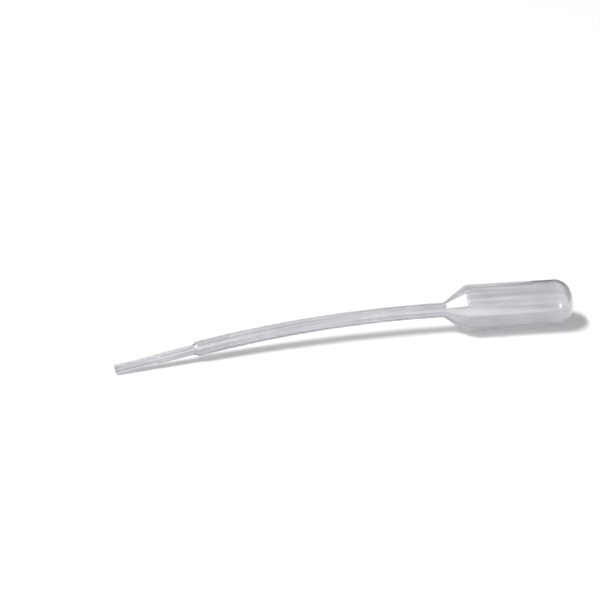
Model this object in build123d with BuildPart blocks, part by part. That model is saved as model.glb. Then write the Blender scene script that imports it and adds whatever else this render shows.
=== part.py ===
from build123d import *
from math import acos, asin, cos, degrees, pi, radians, sin, sqrt, tan
import os

# Plastic dropper pipette: one piece of soft polyethylene, blow moulded hollow from the open tip
# to the closed squeeze bulb. Millimetres, +Z up.
#
# It lies on a flat surface, Z = 0, with its tip towards -X and its bulb towards +X. The bulb lies
# along the surface and the slender stem has one gentle bend. A bent pipette rolls until the
# underside of the bulb and the lip of the tip both touch the surface, so the plane of the bend
# leans over towards -Y. The origin is the middle of the bottom of the box round the whole
# pipette. A "station" is a distance along the centre line from the mouth of the tip.

# Tip: the narrowest stretch, open at its end
tip_length = 13.5
tip_od = 3.0
tip_bore = 1.4
lip_round = 0.2

# Middle stretch, between the two steps of the stem
mid_length = 11.3
mid_od = 3.4
mid_bore = 2.0
step_length = 0.8

# Graduated stem: its length follows from the volumes that its rings mark
stem_od = 4.8
stem_wall = 0.4
ring_volume = 250.0             # cubic millimetres from one ring to the next
ring_count = 4
ring_height = 0.1
ring_root = 0.15                # how deep a ring is rooted in the wall
ring_root_width = 1.0           # there, so about 0.7 where the ring leaves the wall
neck_length = 6.0               # from the last ring to the foot of the cone
stem_bend = 12.8                # whole bend of the stem, in degrees; 6 or more reaches the surface
bend_clearance = 1.2            # straight stem left between the bend and the step or the cone

# Squeeze bulb: cone, straight side and a shallow dome with a rounded edge
cone_angle = 35.0               # between the cone's side and the centre line, in degrees
cone_foot_round = 1.2
shoulder_round = 0.6            # inside the wall
bulb_od = 15.3
bulb_wall = 0.5
bulb_length = 28.8              # straight side, from the shoulder to the edge of the dome
dome_radius = 13.2              # of the dome's middle
dome_edge_radius = 5.8          # of the rounding between the dome and the side

# Pinch-off: the low ridge across the dome where the mould closed on the soft tube
pinch_angle = 27.0              # between the parting plane and the vertical, in degrees
pinch_length = 7.0
pinch_width = 0.45
pinch_height = 0.18
pinch_root = 0.15               # how deep the ridge is rooted in the wall


# Stations along the centre line

def bore_volume(length, start_bore, end_bore):
    """Volume inside a round bore that widens evenly from one diameter to the other."""
    return pi * length * (start_bore**2 + start_bore * end_bore + end_bore**2) / 12


stem_bore = stem_od - 2 * stem_wall
mid_start = tip_length + step_length
mid_end = mid_start + mid_length
stem_start = mid_end + step_length
volume_below_stem = (
    bore_volume(tip_length, tip_bore, tip_bore)
    + bore_volume(step_length, tip_bore, mid_bore)
    + bore_volume(mid_length, mid_bore, mid_bore)
    + bore_volume(step_length, mid_bore, stem_bore)
)
ring_stations = [
    stem_start + (number * ring_volume - volume_below_stem) / bore_volume(1, stem_bore, stem_bore)
    for number in range(1, ring_count + 1)
]

bulb_radius = bulb_od / 2
cone_start = ring_stations[-1] + neck_length
shoulder = cone_start + (bulb_od - stem_od) / 2 / tan(radians(cone_angle))
dome_start = shoulder + bulb_length
edge_centre_height = bulb_radius - dome_edge_radius
dome_half_angle = asin(edge_centre_height / (dome_radius - dome_edge_radius))
dome_centre = dome_start - (dome_radius - dome_edge_radius) * cos(dome_half_angle)

# Bend of the stem, from just above the upper step to just below the cone
bend_start = stem_start + bend_clearance
bend_end = cone_start - bend_clearance
bend = radians(stem_bend)
bend_radius = (bend_end - bend_start) / bend


def offset_at(station):
    """Distance of the centre line from the bulb's own centre line."""
    angle = min(max(bend_end - station, 0) / bend_radius, bend)
    return bend_radius * (1 - cos(angle)) + max(bend_start - station, 0) * sin(angle)


# Lean of the bend's plane from the vertical. Each pass divides the height that the middle of the
# lip's rounding has to lose, for the lip to touch the surface, by its distance from the bulb's
# centre line.
lip_centre_radius = tip_od / 2 - lip_round
lean = 0
for _ in range(30):
    lip_depth = lip_centre_radius * sqrt(1 - (sin(bend) * cos(lean)) ** 2) + lip_round
    lean = acos((bulb_radius - lip_depth) / offset_at(lip_round))

# Reach of the lip and the bulb from the bend's upper end, along X and along Y. They centre the
# pipette on the origin.
lip_reach = (
    bend_radius * sin(bend)
    + (bend_start - lip_round) * cos(bend)
    + lip_centre_radius * sin(bend)
    + lip_round
)
bulb_reach = dome_centre + dome_radius + pinch_height - bend_end
bend_end_x = (lip_reach - bulb_reach) / 2
lip_side_reach = (
    offset_at(lip_round) * sin(lean)
    + lip_centre_radius * sqrt(1 - (sin(bend) * sin(lean)) ** 2)
    + lip_round
)
bulb_y = (lip_side_reach - bulb_radius) / 2


def plane_at(station):
    """Bend's plane at a station: local x runs along the centre line towards the bulb."""
    angle = min(max(bend_end - station, 0) / bend_radius, bend)
    along_bend = bend_radius * sin(angle) + max(bend_start - station, 0) * cos(angle)
    x = bend_end_x + max(station - bend_end, 0) - along_bend
    y = bulb_y - offset_at(station) * sin(lean)
    z = bulb_radius - offset_at(station) * cos(lean)
    return Plane(
        (x, y, z),
        x_dir=(cos(angle), sin(angle) * sin(lean), sin(angle) * cos(lean)),
        z_dir=(0, -cos(lean), sin(lean)),
    )


def axis_at(station):
    """Centre line at a station, pointing towards the bulb."""
    return Axis(plane_at(station).origin, plane_at(station).x_dir)


with BuildPart() as pipette:
    # Tip, middle stretch and start of the stem: a stepped tube turned about its centre line
    with BuildSketch(plane_at(0)) as lower_wall:
        with BuildLine():
            stepped_outside = FilletPolyline(
                (0, tip_bore / 2),
                (0, tip_od / 2),
                (tip_length, tip_od / 2),
                (mid_start, mid_od / 2),
                (mid_end, mid_od / 2),
                (stem_start, stem_od / 2),
                (bend_start, stem_od / 2),
                radius=[lip_round, 0, 0, 0, 0],
            )
            stepped_bore = Polyline(
                (0, tip_bore / 2),
                (tip_length, tip_bore / 2),
                (mid_start, mid_bore / 2),
                (mid_end, mid_bore / 2),
                (stem_start, stem_bore / 2),
                (bend_start, stem_bore / 2),
            )
            Line(stepped_outside @ 1, stepped_bore @ 1)
        make_face()
    revolve(axis=axis_at(0))

    # Bent stretch of the stem: a plain tube carried round the bend's centre, far to its side
    bend_plane = plane_at(bend_end)
    bend_centre = bend_plane.origin - bend_plane.y_dir * bend_radius
    with BuildSketch(Plane(bend_plane.origin, x_dir=(0, 1, 0), z_dir=(1, 0, 0))):
        Circle(stem_od / 2)
        Circle(stem_bore / 2, mode=Mode.SUBTRACT)
    revolve(axis=Axis(bend_centre, bend_plane.z_dir), revolution_arc=stem_bend)

    # Neck, cone, straight side and dome: a shell of even wall turned about the bulb's centre line
    cone_mitre = tan(radians(cone_angle) / 2)
    with BuildSketch(plane_at(bend_end)):
        with BuildLine():
            outside = FilletPolyline(
                (0, stem_od / 2),
                (cone_start - bend_end, stem_od / 2),
                (shoulder - bend_end, bulb_radius),
                (dome_start - bend_end, bulb_radius),
                radius=[cone_foot_round, shoulder_round + bulb_wall],
            )
            inside = FilletPolyline(
                (0, stem_bore / 2),
                (cone_start - bend_end + stem_wall * cone_mitre, stem_bore / 2),
                (shoulder - bend_end + bulb_wall * cone_mitre, bulb_radius - bulb_wall),
                (dome_start - bend_end, bulb_radius - bulb_wall),
                radius=[cone_foot_round + stem_wall, shoulder_round],
            )
            poles = []
            for depth in (0, bulb_wall):
                CenterArc(
                    (dome_start - bend_end, edge_centre_height),
                    dome_edge_radius - depth,
                    start_angle=90,
                    arc_size=degrees(dome_half_angle) - 90,
                )
                cap = CenterArc(
                    (dome_centre - bend_end, 0),
                    dome_radius - depth,
                    start_angle=degrees(dome_half_angle),
                    arc_size=-degrees(dome_half_angle),
                )
                poles.append(cap @ 1)
            Line(poles)
            Line(outside @ 0, inside @ 0)
        make_face()
    revolve(axis=axis_at(bend_end))

    # Graduation rings: low rounded beads right round the stem
    for station in ring_stations:
        with BuildSketch(plane_at(station)):
            with BuildLine():
                root = Line(
                    (-ring_root_width / 2, stem_od / 2 - ring_root),
                    (ring_root_width / 2, stem_od / 2 - ring_root),
                )
                ThreePointArc(root @ 0, (0, stem_od / 2 + ring_height), root @ 1)
            make_face()
        revolve(axis=axis_at(station))

    # Pinch-off: a crescent in the parting plane that fades into the dome at both ends
    dome_plane = plane_at(dome_centre)
    parting_plane = Plane(
        dome_plane.origin,
        x_dir=(1, 0, 0),
        z_dir=(0, -cos(radians(pinch_angle)), sin(radians(pinch_angle))),
    )
    pinch_half_angle = pinch_length / 2 / dome_radius
    with BuildSketch(parting_plane):
        with BuildLine():
            near_end = Vector(cos(pinch_half_angle), -sin(pinch_half_angle))
            far_end = Vector(cos(pinch_half_angle), sin(pinch_half_angle))
            crest = ThreePointArc(
                near_end * dome_radius, (dome_radius + pinch_height, 0), far_end * dome_radius
            )
            rooted_radius = dome_radius - pinch_root
            base = ThreePointArc(near_end * rooted_radius, (rooted_radius, 0), far_end * rooted_radius)
            Line(crest @ 0, base @ 0)
            Line(crest @ 1, base @ 1)
        make_face()
    extrude(amount=pinch_width / 2, both=True)

pipette.part.label = "pipette"
os.makedirs("parts", exist_ok=True)
export_step(pipette.part, "parts/pipette.step")
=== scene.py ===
import bpy
import numpy as np
from math import radians
from mathutils import Euler, Matrix, Vector


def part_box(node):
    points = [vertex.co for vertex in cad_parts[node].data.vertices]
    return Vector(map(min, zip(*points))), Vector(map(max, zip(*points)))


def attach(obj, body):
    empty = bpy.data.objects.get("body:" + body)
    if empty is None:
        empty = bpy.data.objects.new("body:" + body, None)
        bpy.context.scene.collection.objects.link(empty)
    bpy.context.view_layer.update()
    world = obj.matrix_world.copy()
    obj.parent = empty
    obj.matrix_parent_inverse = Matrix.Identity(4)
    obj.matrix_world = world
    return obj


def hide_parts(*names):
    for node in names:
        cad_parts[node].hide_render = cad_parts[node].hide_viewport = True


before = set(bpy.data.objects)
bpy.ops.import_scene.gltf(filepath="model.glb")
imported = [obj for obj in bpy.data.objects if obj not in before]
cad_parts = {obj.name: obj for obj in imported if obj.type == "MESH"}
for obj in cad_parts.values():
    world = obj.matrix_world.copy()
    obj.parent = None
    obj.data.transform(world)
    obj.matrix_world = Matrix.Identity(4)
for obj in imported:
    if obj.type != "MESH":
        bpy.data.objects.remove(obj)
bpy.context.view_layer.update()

mm = 0.001      # the mesh is in metres


# The pipette is one blown shell: a profile turned about a centre line that runs straight along the
# bulb and bends along the stem. A station is a distance along that line from the mouth of the tip.
# Sizes are in millimetres and angles in degrees. In the functions below p is this dictionary, and
# s holds the stations and the bend that follow from it.
pipetteSize = {
    # tip, middle stretch and the two steps up to the stem
    "tipLength": 13.5, "tipOd": 3.0, "tipBore": 1.4,
    "lipRound": 0.2, "mouthBevel": 0.05,
    "midLength": 11.3, "midOd": 3.4, "midBore": 2.0,
    "stepLength": 0.8, "boreStepRound": 0.15,     # of the steps inside the wall
    "stepSlope": 31.5, "upperStepRound": 0.25, "lowerStepRound": 0.05,      # and outside it
    # stem, with one gentle bend
    "stemOd": 4.8, "stemWall": 0.4,
    "stemBend": 12.8,             # whole angle of the bend
    "bendGap": 1.2,               # straight stem left at each end of it
    "neckLength": 6.0,            # from the last ring to the cone
    # squeeze bulb: cone, straight side and a shallow dome with a rounded edge
    "coneAngle": 35.0,            # between the cone's side and the centre line
    "footRound": 1.2, "shoulderRound": 3.5, "innerShoulder": 0.6,
    "bulbOd": 15.3, "bulbWall": 0.5, "bulbLength": 28.8, "domeRadius": 13.2, "edgeRadius": 5.8,
    # graduation rings, one for each step of volume, as low roofs with a rounded crest
    "ringVolume": 250.0, "ringCount": 4, "ringHeight": 0.1, "ringSlope": 33.0, "ringCrest": 0.03,
    # raised numbers: text, the ring that it follows, counted from nought, and how far past that
    # ring the middle of its fine rows lies, with their half length
    "numbers": [("0.5", 1, 1.95, 1.35), ("1", 3, 1.2, 0.6)],
    "numberGap": 0.95, "numberHeight": 0.09, "numberTall": 1.15,
    "numberStroke": 0.13, "numberSoft": 0.09,     # half width of a stroke, and of its slope in it
    "frontLift": 27.0,            # how far the numbered side looks up from level
    # parting lines of the mould, which fade from the second radius here down to the first
    "partingHeight": 0.035, "partingWidth": 0.16, "partingFade": (1.2, 2.7),
    # pinch-off ridge across the dome
    "pinchLength": 7.0, "pinchWidth": 0.45, "pinchHeight": 0.18,
    "pinchSoft": 0.16, "pinchEnd": 1.2, "pinchOnset": 0.5,
    # unevenness of a blown wall; a wave's speed is its radians per millimetre of the centre line
    "bulbWander": 0.025,          # how deep the outside of the bulb wavers
    "bulbWaves": (0.31, 0.13),    # speeds of its two waves
    "bulbCalm": (4.0, 6.0),       # lengths over which they die out at the shoulder and the dome
    "wallWander": 0.05,           # how much the wall thins and thickens
    "wallWaves": (0.22, 0.45),    # speeds of those two waves
    "wallSecond": 0.6,            # height of the second to the first
    "wallTurn": 1.0,              # how far the first is turned round the wall, in radians
    "tipWander": 0.3,             # share of them below the stem
    "dieLines": 0.035,            # lengthwise ripples that the die left inside
    "dieBase": 0.25,              # part of them that doesn't grow with the radius
    "dieWaves": ((7, 0.02), (11, -0.015), (17, 0.01), (23, -0.02)),     # count round, and speed
    "dieTurn": 2.1,               # how far they are turned round the wall, in radians
    "dieFade": (-4.5, 3.5),       # they fade between these distances past the dome's start
    "streakFade": (-3.0, 3.5), "streakOnDome": 0.3,     # and so do the streaks, down to this share
    "inset": 0.015,               # how far the shell keeps inside its CAD twin
    # mesh: spacing and turning from row to row, then half length and spacing of finer stretches
    "outerRows": (1.4, 7.0), "innerRows": (2.4, 9.0),
    "ringRows": (0.25, 0.03), "upperStepRows": (0.8, 0.12), "lowerStepRows": (0.4, 0.04),
    "poleRows": (3.6, 0.2), "numberRowStep": 0.09,
    # columns: angles from the numbered side, and the step from column to column between them
    "columnKnots": (-180, -94, -86, -24, 24, 86, 94, 180),
    "columnSteps": (2.6, 0.8, 2.6, 1.3, 2.6, 0.8, 2.6),
}


def boreVolume(length, first, last):
    # volume of a round bore that widens evenly from one diameter to the other
    return np.pi * length * (first**2 + first * last + last**2) / 12


def workOutStations(p):
    # stretches add up from the mouth; each ring stands where the bore below it holds its volume
    s = {"midStart": p["tipLength"] + p["stepLength"]}
    s["midEnd"] = s["midStart"] + p["midLength"]
    s["stemStart"] = s["midEnd"] + p["stepLength"]
    s["stemBore"] = p["stemOd"] - 2 * p["stemWall"]
    s["lowerStep"] = (p["tipLength"] + s["midStart"]) / 2
    s["upperStep"] = (s["midEnd"] + s["stemStart"]) / 2
    below = (boreVolume(p["tipLength"], p["tipBore"], p["tipBore"])
             + boreVolume(p["stepLength"], p["tipBore"], p["midBore"])
             + boreVolume(p["midLength"], p["midBore"], p["midBore"])
             + boreVolume(p["stepLength"], p["midBore"], s["stemBore"]))
    volumes = np.arange(1, p["ringCount"] + 1) * p["ringVolume"]
    s["rings"] = s["stemStart"] + (volumes - below) / boreVolume(1, s["stemBore"], s["stemBore"])
    s["coneStart"] = s["rings"][-1] + p["neckLength"]
    coneRise = (p["bulbOd"] - p["stemOd"]) / 2
    s["shoulder"] = s["coneStart"] + coneRise / np.tan(radians(p["coneAngle"]))
    s["domeStart"] = s["shoulder"] + p["bulbLength"]
    # the dome's wide arc and its edge arc meet where both have the same slope
    arcGap = p["domeRadius"] - p["edgeRadius"]
    s["edgeHeight"] = p["bulbOd"] / 2 - p["edgeRadius"]
    s["domeHalf"] = np.arcsin(s["edgeHeight"] / arcGap)
    s["domeCentre"] = s["domeStart"] - arcGap * np.cos(s["domeHalf"])
    # the bend is one arc, whose plane leans over until the lip and the bulb both touch the surface:
    # each pass divides the height that the lip has to lose by its offset from the bulb's line
    s["bendStart"], s["bendEnd"] = s["stemStart"] + p["bendGap"], s["coneStart"] - p["bendGap"]
    s["bend"] = radians(p["stemBend"])
    s["bendRadius"] = (s["bendEnd"] - s["bendStart"]) / s["bend"]
    fall = (s["bendRadius"] * (1 - np.cos(s["bend"]))
            + (s["bendStart"] - p["lipRound"]) * np.sin(s["bend"]))
    lipReach = p["tipOd"] / 2 - p["lipRound"]
    s["lean"] = 0.0
    for _ in range(30):
        tilt = np.sin(s["bend"]) * np.cos(s["lean"])
        lipDepth = lipReach * np.sqrt(1 - tilt**2) + p["lipRound"]
        s["lean"] = np.arccos((p["bulbOd"] / 2 - lipDepth) / fall)
    # the end and the far side of the bulb lie where those of the CAD twin do
    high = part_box("pipette")[1]
    crest = s["domeCentre"] + p["domeRadius"] + p["pinchHeight"]
    s["bendEndX"] = high.x / mm - (crest - s["bendEnd"])
    s["bulbY"] = high.y / mm - p["bulbOd"] / 2
    return s


def centreLine(station, p, s):
    # x runs along the bulb. The offset from the bulb's line grows as R(1 - cos a) on the arc, and
    # below it as the sine of the whole bend, in a plane that leans over. Gives the centre, the way
    # along, and two ways across, of which the first looks out of the numbered side.
    angle = np.clip((s["bendEnd"] - station) / s["bendRadius"], 0, s["bend"])
    under = np.maximum(s["bendStart"] - station, 0)
    leanSin, leanCos = np.sin(s["lean"]), np.cos(s["lean"])
    x = (s["bendEndX"] + np.maximum(station - s["bendEnd"], 0)
         - s["bendRadius"] * np.sin(angle) - under * np.cos(angle))
    offset = s["bendRadius"] * (1 - np.cos(angle)) + under * np.sin(angle)
    centre = np.stack([x, s["bulbY"] - offset * leanSin, p["bulbOd"] / 2 - offset * leanCos], -1)
    along = np.stack([np.cos(angle), np.sin(angle) * leanSin, np.sin(angle) * leanCos], -1)
    across = np.tile([0, -leanCos, leanSin], (len(station), 1))
    inward = np.cross(across, along)
    turn = radians(90 - p["frontLift"]) - s["lean"] + np.pi / 2
    front = np.cos(turn) * inward + np.sin(turn) * across
    return centre, along, front, np.cross(along, front)


def roundedLine(corners, rounds, arcPoints=13):
    # a polyline through (station, radius) corners; each inner corner becomes an arc whose centre
    # lies on the corner's middle line, radius over the sine of half the corner's angle away
    line = [np.array(corners[0], float)[None]]
    for i in range(1, len(corners) - 1):
        before, here, after = (np.array(corners[i + k], float) for k in (-1, 0, 1))
        back, ahead = before - here, after - here
        back, ahead = back / np.linalg.norm(back), ahead / np.linalg.norm(ahead)
        half = np.arccos(np.clip(back @ ahead, -1, 1)) / 2
        reach = rounds[i - 1] / np.tan(half)
        middle = (back + ahead) / np.linalg.norm(back + ahead)
        centre = here + middle * rounds[i - 1] / np.sin(half)
        first, last = here + back * reach - centre, here + ahead * reach - centre
        t = np.linspace(0, 1, arcPoints)[:, None]
        sweep = np.pi - 2 * half
        arc = (np.sin((1 - t) * sweep) * first + np.sin(t * sweep) * last) / np.sin(sweep)
        line.append(centre + arc)
    line.append(np.array(corners[-1], float)[None])
    return np.concatenate(line)


def domeLine(p, s, depth, widePoints=40, tightPoints=30):
    # from the pole along the wide arc, then round the tighter edge arc to the straight side, both
    # with their radius less the depth
    wide = np.linspace(0, s["domeHalf"], widePoints)
    tight = np.linspace(s["domeHalf"], np.pi / 2, tightPoints)[1:]
    big, small = p["domeRadius"] - depth, p["edgeRadius"] - depth
    cap = np.stack([s["domeCentre"] + big * np.cos(wide), big * np.sin(wide)], -1)
    edge = np.stack([s["domeStart"] + small * np.cos(tight),
                     s["edgeHeight"] + small * np.sin(tight)], -1)
    return np.concatenate([cap, edge])


def outerLine(p, s):
    # dome, side, cone and stem, then each step as one even flank about the middle of its bore's
    # step, and round the lip to the mouth
    bulbR, stemR, midR, tipR = (p[k] / 2 for k in ("bulbOd", "stemOd", "midOd", "tipOd"))
    slope = np.tan(radians(p["stepSlope"]))
    upper, upperHalf = s["upperStep"], (stemR - midR) / 2 / slope
    lower, lowerHalf = s["lowerStep"], (midR - tipR) / 2 / slope
    corners = [(s["domeStart"], bulbR), (s["shoulder"], bulbR), (s["coneStart"], stemR),
               (upper + upperHalf, stemR), (upper - upperHalf, midR),
               (lower + lowerHalf, midR), (lower - lowerHalf, tipR),
               (0, tipR), (0, p["tipBore"] / 2 + p["mouthBevel"])]
    rounds = [p[k] for k in ("shoulderRound", "footRound", "upperStepRound", "upperStepRound",
                             "lowerStepRound", "lowerStepRound", "lipRound")]
    return np.concatenate([domeLine(p, s, 0), roundedLine(corners, rounds)[1:]])


def innerLine(p, s):
    # the same a wall further in; the mitre keeps the cone's wall even
    w, mitre = p["bulbWall"], np.tan(radians(p["coneAngle"]) / 2)
    bulbR, stemR, midR, tipR = (p["bulbOd"] / 2 - w, s["stemBore"] / 2, p["midBore"] / 2,
                                p["tipBore"] / 2)
    corners = [(s["domeStart"], bulbR), (s["shoulder"] + w * mitre, bulbR),
               (s["coneStart"] + p["stemWall"] * mitre, stemR), (s["stemStart"], stemR),
               (s["midEnd"], midR), (s["midStart"], midR),
               (p["tipLength"], tipR), (p["mouthBevel"], tipR)]
    rounds = [p["innerShoulder"], p["footRound"] + p["stemWall"]] + [p["boreStepRound"]] * 4
    return np.concatenate([domeLine(p, s, w), roundedLine(corners, rounds)[1:]])


def spreadRows(line, spacing, turnStep, fine, samples=12000):
    # rows by arc length: one for every spacing, one for each turnStep of turning, and more in the
    # fine stretches (station, half length, spacing)
    step = np.diff(line, axis=0)
    length = np.concatenate([[0], np.cumsum(np.hypot(step[:, 0], step[:, 1]))])
    heading = np.unwrap(np.arctan2(step[:, 1], step[:, 0]))
    turned = np.concatenate([[0], np.cumsum(np.abs(np.diff(heading)))])
    dense = np.linspace(0, length[-1], samples)
    middles = (length[1:] + length[:-1]) / 2
    amount = dense / spacing + np.interp(dense, middles, turned) / turnStep
    for station, half, fineStep in fine:
        at = np.interp(-station, -line[:, 0], length)
        amount = amount + np.interp(dense, [at - half, at + half], [0, 2 * half / fineStep])
    amount = amount - amount[0]
    at = np.interp(np.linspace(0, amount[-1], int(round(amount[-1])) + 1), amount, dense)
    return np.stack([np.interp(at, length, line[:, 0]), np.interp(at, length, line[:, 1])], -1)


def columnAngles(p):
    # angles round the wall, an even step apart in each stretch between two knots
    knots = np.array(p["columnKnots"], float)
    amount = np.concatenate([[0], np.cumsum(np.diff(knots) / np.array(p["columnSteps"]))])
    count = int(round(amount[-1]))
    return np.radians(np.interp(np.linspace(0, amount[-1], count + 1)[:-1], amount, knots))


def softRamp(x, start, end):
    # nought before start and one past end, level at both: t times t times (3 - 2t)
    t = np.clip((x - start) / (end - start), 0, 1)
    return t * t * (3 - 2 * t)


def strokeDistance(u, v, strokes):
    # shortest distance from each point to the straight strokes, each cut off at its two ends
    best = np.full(u.shape, np.inf)
    for (u0, v0), (u1, v1) in strokes:
        du, dv = u1 - u0, v1 - v0
        t = np.clip(((u - u0) * du + (v - v0) * dv) / (du * du + dv * dv), 0, 1)
        best = np.minimum(best, np.hypot(u - u0 - t * du, v - v0 - t * dv))
    return best


def numberStrokes(text, tall):
    # each digit has a width, and arcs and straight strokes on a cell one unit high; they are set
    # side by side and scaled
    def chain(points):
        # a stroke from each point to the next
        return list(zip(points[:-1], points[1:]))

    turn = np.linspace(0, 2 * np.pi, 17)
    bowl = np.linspace(2.2, -2.4, 12)
    shapes = {
        "0": (0.62, chain([(0.31 + 0.27 * np.cos(a), 0.5 + 0.45 * np.sin(a)) for a in turn])),
        "1": (0.45, chain([(0.08, 0.74), (0.27, 0.95), (0.27, 0.05)])),
        "5": (0.62, chain([(0.54, 0.95), (0.14, 0.95), (0.1, 0.55)])
              + chain([(0.29 + 0.27 * np.cos(a), 0.33 + 0.28 * np.sin(a)) for a in bowl])),
        ".": (0.25, [((0.1, 0.06), (0.12, 0.06))]),
    }
    strokes, pen, gap = [], 0.0, 0.14
    for letter in text:
        wide, parts = shapes[letter]
        strokes += [[((u + pen) * tall, (v - 0.5) * tall) for u, v in part] for part in parts]
        pen += wide + gap
    return strokes


def outsideRelief(station, radius, angle, p, s):
    # height over the plain wall: rings or numbers, whichever are higher, plus the parting lines,
    # and the pinch-off ridge where it is higher still. A ring falls evenly from its crest.
    relief = np.zeros(np.broadcast(station, angle).shape)
    for ring in s["rings"]:
        off = np.hypot(station - ring, p["ringCrest"]) - p["ringCrest"]
        relief = np.maximum(relief, p["ringHeight"] - np.tan(radians(p["ringSlope"])) * off)
    for text, follows, _, _ in p["numbers"]:
        u = station - s["rings"][follows] - p["numberGap"]
        u, v = np.broadcast_arrays(u, -radius * angle)
        near = strokeDistance(u, v, numberStrokes(text, p["numberTall"]))
        stroke = softRamp(near, p["numberStroke"], p["numberStroke"] - p["numberSoft"])
        relief = np.maximum(relief, p["numberHeight"] * stroke)
    # a parting line is a bell curve across the wall, a quarter turn to each side of the numbers
    gap = radius * np.abs(np.abs(angle) - np.pi / 2)
    line = np.exp(-((gap / p["partingWidth"]) ** 2)) * softRamp(radius, *p["partingFade"])
    relief = relief + p["partingHeight"] * line
    # the ridge follows the parting line over the pole, with soft sides and ends
    reach, aside = radius * np.abs(np.sin(angle)), radius * np.abs(np.cos(angle))
    side = (p["pinchWidth"] + p["pinchSoft"]) / 2
    end = p["pinchLength"] / 2
    ridge = softRamp(aside, side, side - p["pinchSoft"]) * softRamp(reach, end, end - p["pinchEnd"])
    onDome = softRamp(station, s["domeStart"], s["domeStart"] + p["pinchOnset"])
    return np.maximum(relief, p["pinchHeight"] * ridge * onDome)


def outsideLift(station, radius, angle, p, s):
    # relief less the inset, and on the bulb's straight side less the product of two slow waves,
    # brought between nought and one
    first, second = p["bulbWaves"]
    waves = np.sin(station * first + 2 * angle) * np.cos(station * second + angle)
    waves = 0.5 - 0.5 * waves
    atShoulder, atDome = p["bulbCalm"]
    calm = (softRamp(station, s["shoulder"], s["shoulder"] + atShoulder)
            * softRamp(station, s["domeStart"], s["domeStart"] - atDome))
    relief = outsideRelief(station, radius, angle, p, s)
    return relief - p["bulbWander"] * waves * calm - p["inset"]


def insideLift(station, radius, angle, p, s):
    # the sum of two slow waves, and of sine ripples round the bore that run along the wall and
    # deepen with its radius
    first, second = p["wallWaves"]
    waves = np.sin(station * first + angle + p["wallTurn"])
    waves = waves + p["wallSecond"] * np.sin(station * second - 2 * angle)
    lift = p["wallWander"] * waves / (1 + p["wallSecond"])
    lift = lift * np.where(station < s["stemStart"], p["tipWander"], 1.0)
    ripples = sum(np.sin(count * (angle + p["dieTurn"]) + speed * station)
                  for count, speed in p["dieWaves"])
    fade = softRamp(station, s["domeStart"] + p["dieFade"][1], s["domeStart"] + p["dieFade"][0])
    return lift + p["dieLines"] * ripples * (p["dieBase"] + radius / p["bulbOd"]) * fade


def placeRows(line, lift, angle, p, s):
    # each row is a circle round the centre line, and lift moves a point out along the profile's
    # normal, which is its run from the dome to the tip turned by a quarter
    centre, along, front, side = centreLine(line[:, 0], p, s)
    run = np.gradient(line, axis=0)
    run = run / np.hypot(run[:, 0], run[:, 1])[:, None]
    radius = line[:, 1][:, None] - lift * run[:, 0][:, None]
    shift = lift * run[:, 1][:, None]
    outwards = (np.cos(angle)[None, :, None] * front[:, None]
                + np.sin(angle)[None, :, None] * side[:, None])
    return centre[:, None] + shift[..., None] * along[:, None] + radius[..., None] * outwards


def shellMesh(name, grid, poles):
    # rows from the outer pole to the lip and back inside to the inner pole, joined by quads; a fan
    # of triangles closes the shell at each pole
    rows, columns = grid.shape[:2]
    points = np.concatenate([grid.reshape(-1, 3), poles]) * mm
    row, column = np.meshgrid(np.arange(rows - 1), np.arange(columns), indexing="ij")
    beside = (column + 1) % columns
    here, below = row * columns, (row + 1) * columns
    quads = np.stack([here + column, below + column, below + beside, here + beside], -1)
    ring = np.arange(columns)
    last = (rows - 1) * columns
    outerPole = np.full(columns, rows * columns)
    outerFan = np.stack([outerPole, ring, (ring + 1) % columns], -1)
    innerFan = np.stack([outerPole + 1, last + (ring + 1) % columns, last + ring], -1)
    loops = np.concatenate([quads.ravel(), outerFan.ravel(), innerFan.ravel()])
    sizes = np.concatenate([np.full(quads.size // 4, 4), np.full(2 * columns, 3)])
    mesh = bpy.data.meshes.new(name)
    mesh.vertices.add(len(points))
    mesh.vertices.foreach_set("co", points.ravel())
    mesh.loops.add(len(loops))
    mesh.loops.foreach_set("vertex_index", loops)
    mesh.polygons.add(len(sizes))
    mesh.polygons.foreach_set("loop_start", np.concatenate([[0], np.cumsum(sizes)[:-1]]))
    mesh.polygons.foreach_set("loop_total", sizes)
    mesh.update(calc_edges=True)
    mesh.polygons.foreach_set("use_smooth", np.ones(len(sizes), bool))
    mesh.validate()
    print("shell made:", rows, "rows,", columns, "columns,", (sizes - 2).sum(), "triangles")
    return mesh


def addFlow(mesh, outer, inner, angle, p, s):
    # flow is a unit circle round the wall, drawn in to its middle over the dome, and the station;
    # streaky is one, and sinks over the dome, where the tube was pinched shut
    innerR = p["bulbOd"] / 2 - p["bulbWall"]
    station = np.concatenate([outer[1:, 0], inner[:0:-1, 0]])
    share = np.concatenate([outer[1:, 1] / (p["bulbOd"] / 2), inner[:0:-1, 1] / innerR])
    reach = np.where(station > s["domeStart"], share, 1.0)[:, None]
    station = station[:, None] + 0 * angle
    onWall = np.stack([reach * np.cos(angle), reach * np.sin(angle), station], -1).reshape(-1, 3)
    atPoles = [[0, 0, outer[0, 0]], [0, 0, inner[0, 0]]]
    flow = mesh.attributes.new("flow", "FLOAT_VECTOR", "POINT")
    flow.data.foreach_set("vector", np.concatenate([onWall, atPoles]).ravel())
    onDome = p["streakOnDome"]
    fade = [s["domeStart"] + past for past in p["streakFade"]]
    amount = np.interp(station, fade, [1.0, onDome]).ravel()
    streaky = mesh.attributes.new("streaky", "FLOAT", "POINT")
    streaky.data.foreach_set("value", np.concatenate([amount, [onDome, onDome]]))


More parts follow.
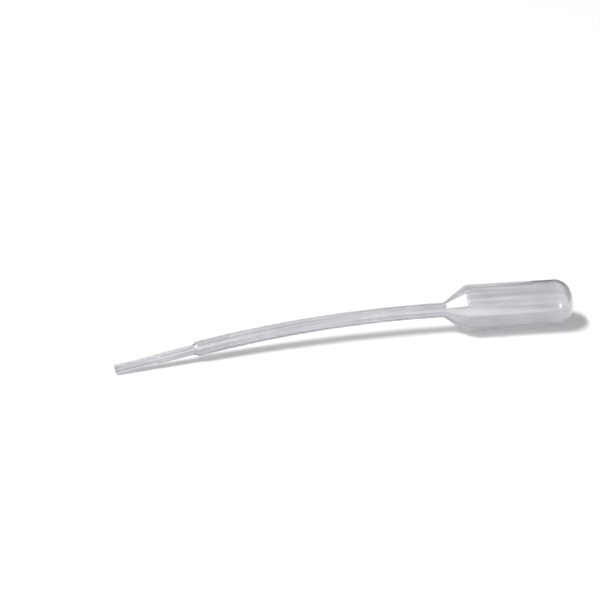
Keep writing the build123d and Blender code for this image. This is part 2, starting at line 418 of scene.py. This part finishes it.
def buildPipette(p):
    # outer and inner profile, each spread into rows and turned about the centre line
    s = workOutStations(p)
    fine = [(ring, *p["ringRows"]) for ring in s["rings"]]
    fine += [(s["upperStep"], *p["upperStepRows"]), (s["lowerStep"], *p["lowerStepRows"])]
    fine += [(s["rings"][follows] + middle, half, p["numberRowStep"])
             for _, follows, middle, half in p["numbers"]]
    fine += [(s["domeCentre"] + p["domeRadius"], *p["poleRows"])]
    spacing, turning = p["outerRows"]
    outer = spreadRows(outerLine(p, s), spacing, radians(turning), fine)
    spacing, turning = p["innerRows"]
    inner = spreadRows(innerLine(p, s), spacing, radians(turning), [])
    angle = columnAngles(p)
    walls = []
    for line, liftOf in ((outer[1:], outsideLift), (inner[1:], insideLift)):
        lift = liftOf(line[:, :1], line[:, 1:], angle, p, s)
        walls.append(placeRows(line, lift, angle, p, s))
    grid = np.concatenate([walls[0], walls[1][::-1]])
    tops = np.array([outer[0, 0] + p["pinchHeight"] - p["inset"], inner[0, 0]])
    mesh = shellMesh("pipetteShell", grid, centreLine(tops, p, s)[0])
    addFlow(mesh, outer, inner, angle, p, s)
    piece = bpy.data.objects.new("pipette_shell", mesh)
    bpy.context.scene.collection.objects.link(piece)
    return piece


# Glossy, slightly milky polythene: each pattern has its scale, its detail and the band of it that
# is spread over the whole effect.
polytheneLook = {
    "tint": (0.915, 0.912, 0.935, 1), "streak": (0.63, 0.627, 0.665, 1),
    "clear": 0.80, "ior": 1.51,                  # how much light goes through, and how it bends
    "gloss": 0.05,                               # roughness of the smooth skin on top
    "roughClear": 0.03, "roughMilky": 0.09,      # the wall is clear between fine milky grains
    "streakStretch": (6, 6, 0.035),              # long streaks, close together round the wall
    "streakNoise": (0.6, 2), "streakBand": (0.38, 0.62), "streakShare": 0.8,
    "cloudNoise": (130, 5), "cloudBand": (0.35, 0.65), "cloudShare": 0.25,
    "grainNoise": (5200, 1), "grainBand": (0.4, 0.6),
    "bumpDepth": 0.0004, "streakBump": 0.10, "cloudBump": 0.03,
}


def makePolythene(look):
    # streaks run along the flow attribute, clouds and grains lie in object space. Streaks times
    # their share plus clouds set how far the tint turns to the streak colour, grains set the
    # roughness, and streaks and clouds the bump.
    material = bpy.data.materials.new("milky_polythene")
    material.use_nodes = True
    nodes, links = material.node_tree.nodes, material.node_tree.links
    nodes.clear()
    out = nodes.new("ShaderNodeOutputMaterial")
    shader = nodes.new("ShaderNodeBsdfPrincipled")
    shader.inputs["IOR"].default_value = look["ior"]
    shader.inputs["Transmission Weight"].default_value = look["clear"]
    shader.inputs["Coat Weight"].default_value = 1.0
    shader.inputs["Coat Roughness"].default_value = look["gloss"]
    shader.inputs["Coat IOR"].default_value = look["ior"]

    def attribute(name):
        # reads one of the shell's own attributes
        reader = nodes.new("ShaderNodeAttribute")
        reader.attribute_name = name
        return reader

    def noise(vector, scale, detail):
        # plain noise at a scale, with so many finer layers
        texture = nodes.new("ShaderNodeTexNoise")
        texture.inputs["Scale"].default_value = scale
        texture.inputs["Detail"].default_value = detail
        links.new(vector, texture.inputs["Vector"])
        return texture.outputs["Fac"]

    def spread(value, band, low, high):
        # the band of the value, spread evenly from low to high
        change = nodes.new("ShaderNodeMapRange")
        change.inputs["From Min"].default_value, change.inputs["From Max"].default_value = band
        change.inputs["To Min"].default_value = low
        change.inputs["To Max"].default_value = high
        links.new(value, change.inputs["Value"])
        return change.outputs["Result"]

    def reckon(operation, first, second):
        # one sum or product of two values
        node = nodes.new("ShaderNodeMath")
        node.operation = operation
        links.new(first, node.inputs[0])
        links.new(second, node.inputs[1])
        return node.outputs["Value"]

    stretch = nodes.new("ShaderNodeMapping")
    stretch.inputs["Scale"].default_value = look["streakStretch"]
    links.new(attribute("flow").outputs["Vector"], stretch.inputs["Vector"])
    place = nodes.new("ShaderNodeTexCoord").outputs["Object"]
    streak = noise(stretch.outputs["Vector"], *look["streakNoise"])
    cloud = noise(place, *look["cloudNoise"])
    grain = noise(place, *look["grainNoise"])
    streaks = reckon("MULTIPLY", spread(streak, look["streakBand"], 0.0, look["streakShare"]),
                     attribute("streaky").outputs["Fac"])
    clouds = spread(cloud, look["cloudBand"], 0.0, look["cloudShare"])
    blend = nodes.new("ShaderNodeMix")
    blend.data_type = "RGBA"
    blend.inputs["A"].default_value, blend.inputs["B"].default_value = look["tint"], look["streak"]
    links.new(reckon("ADD", streaks, clouds), blend.inputs["Factor"])
    links.new(blend.outputs["Result"], shader.inputs["Base Color"])
    rough = spread(grain, look["grainBand"], look["roughClear"], look["roughMilky"])
    links.new(rough, shader.inputs["Roughness"])
    normal = None
    for height, strength in ((streak, look["streakBump"]), (cloud, look["cloudBump"])):
        bump = nodes.new("ShaderNodeBump")
        bump.inputs["Distance"].default_value = look["bumpDepth"]
        bump.inputs["Strength"].default_value = strength
        links.new(height, bump.inputs["Height"])
        if normal:
            links.new(normal, bump.inputs["Normal"])
        normal = bump.outputs["Normal"]
    links.new(normal, shader.inputs["Normal"])
    links.new(shader.outputs["BSDF"], out.inputs["Surface"])
    return material


pipette = buildPipette(pipetteSize)
pipette.data.materials.append(makePolythene(polytheneLook))
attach(pipette, "root")
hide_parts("pipette")
print("polythene assigned")


# Studio, in metres from the pipette's middle: pale paper, five lamps, a dark card and the camera.
studioSet = {
    "floorSize": (6.0, 6.0), "floorColour": (0.93, 0.93, 0.935, 1),
    "floorRough": 0.9, "floorShine": 0.1,
    "floorLift": 0.14,           # glow of the floor where it is looked at, not on things
    "worldLight": 0.08,          # even light from all round
    "cameraPlace": (-0.08463, -0.49512, 0.27203), "cameraTurn": (62.917, 0.0, -8.0),
    "cameraLens": 107.986, "cameraSensor": 36,
    # name, way from the pipette, way its long side runs, distance, length, width, power, and
    # whether the gloss and the clear wall show it
    "lamps": [("keyLamp", (-0.46, -0.12, 0.82), (0, 1, 0), 5.0, 2.1, 0.54, 206, False),
              ("sideSoftbox", (-0.748, 0.030, 0.656), (0.206, 0.731, 0.214),
               0.68, 0.72, 0.09, 1.15, True),
              ("topSoftbox", (0.124, 0.219, 0.969), (1, 0, 0), 1.0, 0.8, 0.35, 0.3, True),
              ("frontFill", (0.1, -0.95, 0.22), (1, 0, 0), 2.0, 2.0, 0.8, 26, False),
              ("frontStrip", (0.449, -0.876, 0.176), (0, 0, 1), 0.6325, 0.22, 0.07, 0.23, True)],
    # dark card beside the set, seen only in the gloss and through the wall
    "cardPlace": (0.45, 0.25, 0.15), "cardSize": (0.9, 0.5), "cardTurn": (90, 0, -60),
    "cardColour": (0.03, 0.03, 0.035, 1),
}


def addLamp(name, way, run, far, long, wide, power, inGloss):
    # a rectangle so far along its way, facing back down it, with its long side as near to run as
    # that allows: run less its own part along the way
    data = bpy.data.lights.new(name, "AREA")
    data.shape, data.size, data.size_y, data.energy = "RECTANGLE", long, wide, power
    lamp = bpy.data.objects.new(name, data)
    way, run = Vector(way).normalized(), Vector(run)
    run = (run - way * run.dot(way)).normalized()
    turn = Matrix((run, way.cross(run), way)).transposed().to_4x4()
    lamp.matrix_world = Matrix.Translation(way * far) @ turn
    lamp.visible_glossy = inGloss
    lamp.visible_transmission = inGloss
    bpy.context.scene.collection.objects.link(lamp)


def flatSheet(name, size, place, turn, material):
    # a rectangle of that size about its middle, turned and then moved to its place
    spin = Euler([radians(a) for a in turn])
    corners = []
    for u, v in ((-1, -1), (1, -1), (1, 1), (-1, 1)):
        corner = Vector((u * size[0] / 2, v * size[1] / 2, 0))
        corner.rotate(spin)
        corners.append(corner + Vector(place))
    mesh = bpy.data.meshes.new(name)
    mesh.from_pydata(corners, [], [(0, 1, 2, 3)])
    mesh.materials.append(material)
    sheet = bpy.data.objects.new(name, mesh)
    bpy.context.scene.collection.objects.link(sheet)
    return sheet


def seenDirectly(nodes, links):
    # one for rays that come straight, by gloss or through the wall, and nought for the light that
    # falls on things: the greatest of the three kinds of ray
    rays = nodes.new("ShaderNodeLightPath")
    seen = rays.outputs["Is Camera Ray"]
    for kind in ("Is Glossy Ray", "Is Transmission Ray"):
        either = nodes.new("ShaderNodeMath")
        either.operation = "MAXIMUM"
        links.new(seen, either.inputs[0])
        links.new(rays.outputs[kind], either.inputs[1])
        seen = either.outputs["Value"]
    return seen


def makePaper(look):
    # matt pale paper, plus a plain glow where it is seen
    paper = bpy.data.materials.new("floor_paper")
    paper.use_nodes = True
    nodes, links = paper.node_tree.nodes, paper.node_tree.links
    shader = nodes["Principled BSDF"]
    shader.inputs["Base Color"].default_value = look["floorColour"]
    shader.inputs["Roughness"].default_value = look["floorRough"]
    shader.inputs["Specular IOR Level"].default_value = look["floorShine"]
    glow = nodes.new("ShaderNodeEmission")
    glow.inputs["Strength"].default_value = look["floorLift"]
    both, seen = nodes.new("ShaderNodeAddShader"), nodes.new("ShaderNodeMixShader")
    links.new(shader.outputs["BSDF"], both.inputs[0])
    links.new(glow.outputs["Emission"], both.inputs[1])
    links.new(seenDirectly(nodes, links), seen.inputs["Fac"])
    links.new(shader.outputs["BSDF"], seen.inputs[1])
    links.new(both.outputs["Shader"], seen.inputs[2])
    links.new(seen.outputs["Shader"], nodes["Material Output"].inputs["Surface"])
    return paper


def makeWorld(look):
    # white where it is seen, and a weak even light on things
    world = bpy.data.worlds.new("studio")
    world.use_nodes = True
    nodes, links = world.node_tree.nodes, world.node_tree.links
    level = nodes.new("ShaderNodeMapRange")
    level.inputs["To Min"].default_value = look["worldLight"]
    links.new(seenDirectly(nodes, links), level.inputs["Value"])
    links.new(level.outputs["Result"], nodes["Background"].inputs["Strength"])
    nodes["Background"].inputs["Color"].default_value = (1, 1, 1, 1)
    return world


def buildStudio(look):
    # floor, card, lamps, world and camera, each in its place from the dictionary
    flatSheet("floor", look["floorSize"], (0, 0, 0), (0, 0, 0), makePaper(look))
    dark = bpy.data.materials.new("card_black")
    dark.use_nodes = True
    dark.node_tree.nodes["Principled BSDF"].inputs["Base Color"].default_value = look["cardColour"]
    card = flatSheet("card_0", look["cardSize"], look["cardPlace"], look["cardTurn"], dark)
    card.visible_camera = card.visible_shadow = card.visible_diffuse = False
    for lamp in look["lamps"]:
        addLamp(*lamp)
    scene = bpy.context.scene
    scene.world = makeWorld(look)
    cameraData = bpy.data.cameras.new("camera")
    cameraData.lens, cameraData.sensor_width = look["cameraLens"], look["cameraSensor"]
    camera = bpy.data.objects.new("camera", cameraData)
    camera.location = look["cameraPlace"]
    camera.rotation_euler = [radians(a) for a in look["cameraTurn"]]
    scene.collection.objects.link(camera)
    scene.camera = camera
    scene.view_settings.view_transform = "Standard"


buildStudio(studioSet)
print("studio ready")
